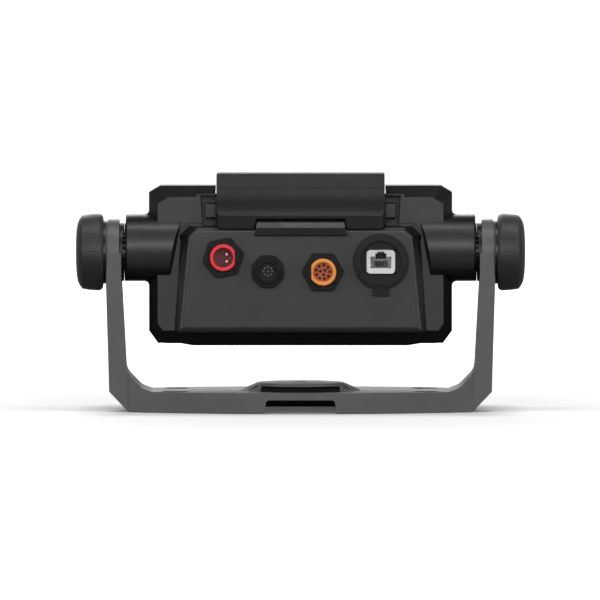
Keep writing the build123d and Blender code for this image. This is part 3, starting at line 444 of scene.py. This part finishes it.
moulded("bail_plastic", (91, 91, 92), rough=0.48, grain_mm=0.32, depth_mm=0.010,
        mottle=0.06, edge=0.30, round_mm=0.45)
# Its second colour, (22, 22, 23), is painted shade on the cradle's flanks, latch bay and pod top.
moulded("cradle_plastic", (54, 54, 55), rough=0.36, grain_mm=0.32, depth_mm=0.010,
        mottle=0.07, edge=0.35, round_mm=0.40, specular=0.42,
        second=(painted_flank_shade, (22, 22, 23)))
moulded("hood_plastic", (30, 30, 32), rough=0.42, grain_mm=0.28, depth_mm=0.008,
        mottle=0.06, edge=0.35, round_mm=0.6, specular=0.26)
moulded("ratchet_plastic", (16, 16, 17), rough=0.45, grain_mm=0.2, depth_mm=0.006,
        mottle=0.08, edge=0.3, round_mm=0.12)
moulded("knob_rubber", (46, 46, 47), rough=0.48, grain_mm=0.24, depth_mm=0.010,
        mottle=0.06, edge=0.25, round_mm=0.45, sheen=0.12)
moulded("washer_plastic", (34, 34, 35), rough=0.32, grain_mm=0.3, depth_mm=0.004,
        mottle=0.05, edge=0.2, round_mm=0.1)
metal("steel", (186, 188, 190))
metal("brass", (206, 172, 102))
moulded("black_plastic", (21, 21, 21), rough=0.32, grain_mm=0.25, depth_mm=0.006,
        mottle=0.08, edge=0.2, round_mm=0.2, specular=0.25)
moulded("nut_plastic", (16, 16, 16), rough=0.27, grain_mm=0.22, depth_mm=0.004,
        mottle=0.08, edge=0.12, round_mm=0.25, specular=0.22)
# The red and orange sockets' dark second colours are painted shade down in their nuts.
moulded("red_plastic", (244, 48, 62), rough=0.30, grain_mm=0.3, depth_mm=0.003,
        mottle=0.04, edge=0.12, round_mm=0.2, coat=0.3,
        second=(painted_nut_shade, (22, 6, 8)))
# The inserts' dark second colours are painted shade deeper inside them.
moulded("dark_red_plastic", (98, 30, 42), rough=0.5, grain_mm=0.25, depth_mm=0.008,
        mottle=0.10, edge=0.1, round_mm=0.15,
        second=(painted_depth_shade("power_insert", 1.4), (16, 5, 6)))
moulded("orange_plastic", (255, 158, 66), rough=0.32, grain_mm=0.3, depth_mm=0.003,
        mottle=0.04, edge=0.12, round_mm=0.2, coat=0.3,
        second=(painted_nut_shade, (24, 12, 8)))
moulded("dark_orange_plastic", (184, 88, 38), rough=0.46, grain_mm=0.25, depth_mm=0.006,
        mottle=0.10, edge=0.1, round_mm=0.12,
        second=(painted_depth_shade("sonar_insert", 1.2), (36, 12, 6)))
# The data pins' grey (112, 114, 106) is the tin's own colour, darkened as painted shade.
metal("tinned_pins", (232, 160, 150), rough=0.42, axis=1, second=(power_side, (112, 114, 106)))
metal("gold_contacts", (206, 178, 122), rough=0.26, axis=1, second=(dock_side, (190, 190, 188)))
moulded("seal_rubber", (12, 12, 12), rough=0.6, grain_mm=0.3, depth_mm=0.010,
        mottle=0.08, edge=0.1, round_mm=0.1, specular=0.2)
# Its near-black second colour is painted shade in the latch notch.
moulded("jack_plastic", (236, 236, 234), rough=0.40, grain_mm=0.3, depth_mm=0.004,
        mottle=0.03, edge=0.05, round_mm=0.2,
        second=(painted_notch_shade, (20, 20, 21)))
circuit_board("board")
moulded("head_plastic", (40, 40, 42), rough=0.42, grain_mm=0.3, depth_mm=0.010,
        mottle=0.06, edge=0.3, round_mm=0.4)
moulded("key_rubber", (44, 44, 46), rough=0.55, grain_mm=0.2, depth_mm=0.006,
        mottle=0.06, edge=0.2, round_mm=0.25, sheen=0.1)
cover_glass("cover_glass")
display("screen")
metal("chassis_metal", (196, 197, 199), rough=0.36)
moulded("ceramic", (206, 198, 180), rough=0.55, grain_mm=0.15, depth_mm=0.006,
        mottle=0.05, edge=0.2, round_mm=0.15)


def dress(node, material):
    """Give a CAD node its material."""
    mesh = nodes[node].data
    mesh.materials.clear()
    mesh.materials.append(material)


for part in frame["record"]["subparts"]:
    dress(part["node"], materials[part["material_slot"]])


# ---- Key icons --------------------------------------------------------------------
def arc_band(x, z, radius, width, start, stop, steps=28):
    """Band along an arc, as loops of four points, from angles in degrees."""
    quads = []
    for index in range(steps):
        first = math.radians(start + (stop - start) * index / steps)
        last = math.radians(start + (stop - start) * (index + 1) / steps)
        inner, outer = radius - width / 2, radius + width / 2
        quads.append([
            (x + inner * math.cos(first), z + inner * math.sin(first)),
            (x + outer * math.cos(first), z + outer * math.sin(first)),
            (x + outer * math.cos(last), z + outer * math.sin(last)),
            (x + inner * math.cos(last), z + inner * math.sin(last)),
        ])
    return quads


def bar(x, z, width, height):
    """Rectangle as a loop."""
    half, rise = width / 2, height / 2
    return [(x - half, z - rise), (x + half, z - rise), (x + half, z + rise), (x - half, z + rise)]


# Loops in mm about the middle of each key.
ICONS = {
    "power": arc_band(0, 0, 1.9, 0.4, 120, 420) + [bar(0, 1.7, 0.4, 1.6)],
    "home": [[(-2.4, 0), (2.4, 0), (0, 2.2)],
             bar(-0.95, -0.9, 1.1, 1.8),
             bar(0.95, -0.9, 1.1, 1.8)],
    "mark": arc_band(0, 0.6, 1.1, 0.6, 0, 360) + [[(-1.1, -0.3), (0, -2.4), (1.1, -0.3), (0, -0.9)]],
    "zoom_in": [bar(0, 0, 3.6, 0.5), bar(0, 1.025, 0.5, 1.55), bar(0, -1.025, 0.5, 1.55)],
    "zoom_out": [bar(0, 0, 3.6, 0.5)],
}
ICON_THICK = 0.06 * MM
ICON_PROUD = 0.02 * MM


def icon_piece(name, loops, low, high):
    """Thin raised symbol on the front of a key, from its loops and the key's box."""
    middle = (low + high) / 2
    mesh = bpy.data.meshes.new(name)
    build = bmesh.new()
    for loop in loops:
        places = [(middle.x + x * MM, low.y - ICON_PROUD, middle.z + z * MM) for x, z in loop]
        face = build.faces.new([build.verts.new(place) for place in places])
        made = bmesh.ops.extrude_face_region(build, geom=[face])
        moved = [v for v in made["geom"] if isinstance(v, bmesh.types.BMVert)]
        bmesh.ops.translate(build, verts=moved, vec=(0, ICON_THICK, 0))
    bmesh.ops.recalc_face_normals(build, faces=build.faces)
    build.to_mesh(mesh)
    build.free()
    piece = bpy.data.objects.new(name, mesh)
    bpy.context.scene.collection.objects.link(piece)
    return piece


def key_icons():
    """One generic symbol on each key: power, house, pin, plus and minus."""
    ink = moulded("key_marking", (206, 208, 210), rough=0.5, grain_mm=0.12, depth_mm=0.004,
                  mottle=0.06, edge=0.2, round_mm=0.05)
    for name, loops in ICONS.items():
        icon = icon_piece(f"icon_{name}", loops, *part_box(f"key_{name}"))
        icon.data.materials.append(ink)
        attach(icon, f"key_{name}")


key_icons()


# ---- Floor, lights and camera -----------------------------------------------------
def painted_base_shadow(tree, coords):
    """Painted shadow on the floor: 0 under the bracket's base, rising to 1 a little way outside it.
    """
    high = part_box("bail_bracket")[1]
    flat = add(tree, "VectorMath", operation="ABSOLUTE")
    join(tree, coords, (flat, 0), "Object")
    outside = add(tree, "VectorMath", operation="SUBTRACT")
    outside.inputs[1].default_value = (0.9 * high.x, high.y, 1.0)
    join(tree, flat, (outside, 0))
    clear = add(tree, "VectorMath", operation="MAXIMUM")
    join(tree, outside, (clear, 0))
    gap = add(tree, "VectorMath", operation="LENGTH")
    join(tree, clear, (gap, 0))
    return remap(tree, gap, -0.004, 0.03, 0.1, 1.0, "Value")


def paper_material():
    """Pale paper, clear from below, with a painted glow that fades near the object as painted shade.
    """
    material, tree, shader = new_material("floor_paper")
    coords = add(tree, "TexCoord")
    tone = patches(tree, coords, 40.0, 3.0, 0.5, 0.3, 0.7, 0.0, 1.0)
    paint(tree, shader, blend_colours(tree, tone, PAPER_DARK, PAPER_LIGHT))
    shader.inputs["Roughness"].default_value = 0.9
    shader.inputs["Specular IOR Level"].default_value = 0.1
    shader.inputs["Emission Color"].default_value = (1, 1, 1, 1)
    away = add(tree, "VectorMath", operation="LENGTH")
    join(tree, coords, (away, 0), "Object")
    # Painted light: the floor's glow, dimmer near the object as painted shade and under the base as
    # a painted shadow.
    far = remap(tree, away, GLOW_NEAR, GLOW_FAR, FLOOR_GLOW, 1.0, "Value")
    join(tree, product(tree, far, painted_base_shadow(tree, coords)), (shader, "Emission Strength"))
    either = add(tree, "MixShader")
    join(tree, add(tree, "NewGeometry"), (either, 0), "Backfacing")
    join(tree, shader, (either, 1))
    join(tree, add(tree, "BsdfTransparent"), (either, 2))
    join(tree, either, (tree.nodes["Material Output"], 0))
    return material


def paper_floor():
    """Wide pale floor, which takes the object's shadow and stays out of its reflections."""
    mesh = bpy.data.meshes.new("floor")
    build = bmesh.new()
    bmesh.ops.create_grid(build, x_segments=FLOOR_CELLS, y_segments=FLOOR_CELLS, size=FLOOR_HALF)
    bmesh.ops.translate(build, verts=build.verts, vec=(0, 0, -FLOOR_DROP))
    build.to_mesh(mesh)
    build.free()
    mesh.materials.append(paper_material())
    floor = bpy.data.objects.new("floor", mesh)
    bpy.context.scene.collection.objects.link(floor)
    floor.visible_diffuse = False
    floor.visible_glossy = False


def aim(thing, place, target):
    """Put a light or a camera at a place, facing a target."""
    thing.location = place
    thing.rotation_euler = (Vector(target) - Vector(place)).to_track_quat("-Z", "Y").to_euler()
    bpy.context.scene.collection.objects.link(thing)


def area_light(name, place, target, width, depth, watts):
    """Rectangular soft light that points at a target."""
    data = bpy.data.lights.new(name, "AREA")
    data.shape = "RECTANGLE"
    data.size = width
    data.size_y = depth
    data.energy = watts
    aim(bpy.data.objects.new(name, data), place, target)


def room_light():
    """Room light by direction: white behind the object, dim elsewhere, dark below."""
    world = bpy.data.worlds.new("studio")
    world.use_nodes = True
    tree = world.node_tree
    background = tree.nodes["Background"]
    coords = add(tree, "TexCoord")
    parts = add(tree, "SeparateXYZ")
    join(tree, coords, (parts, 0), "Generated")
    height = axis_value(tree, coords, "Z", "Generated", True)
    across = axis_value(tree, coords, "X", "Generated", True)
    wall = product(
        tree,
        remap(tree, parts, -0.1, -0.7, 0.0, 1.0, "Y"),
        remap(tree, height, 0.05, 0.5, 1.0, 0.0),
        remap(tree, across, 0.08, 0.24, 1.0, 0.12),
        BACK_WHITE,
    )
    above = remap(tree, parts, -0.6, 0.1, ROOM_LOW, ROOM_HIGH, "Z")
    join(tree, math_node(tree, "ADD", wall, above), (background, "Strength"))
    background.inputs["Color"].default_value = (1, 1, 1, 1)
    bpy.context.scene.world = world


def studio():
    """Softboxes overhead, behind the camera and on the screen's side, two strips, the room."""
    room_light()
    low_aim = (0, 0, AIM_HEIGHT)
    area_light("overhead", (0.0, 0.30, 1.6), (0, 0, SIDE_AIM_HEIGHT), 1.7, 0.26, OVERHEAD_W)
    area_light("front", (0.0, 2.3, 0.62), low_aim, 1.8, 0.8, FRONT_W)
    area_light("screen_side", (0.35, -2.2, 1.2), low_aim, 1.5, 0.8, SCREEN_SIDE_W)
    for side in (-1, 1):
        side_aim = (side * 0.1, 0, SIDE_AIM_HEIGHT)
        area_light(f"side_{side}", (side * 1.5, 1.1, 0.5), side_aim, 0.25, 1.1, SIDE_W)


def photo_camera():
    """Long lens from behind the display, a little above it."""
    data = bpy.data.cameras.new("camera")
    data.sensor_width = 36.0
    data.lens = CAMERA_LENS
    data.clip_end = 60.0
    camera = bpy.data.objects.new("camera", data)
    elevation = math.radians(CAMERA_ELEVATION)
    target = Vector(CAMERA_TARGET)
    away = CAMERA_AWAY * Vector((0, math.cos(elevation), math.sin(elevation)))
    aim(camera, target + away, target)
    bpy.context.scene.camera = camera


paper_floor()
studio()
photo_camera()
bpy.context.scene.view_settings.view_transform = "Standard"
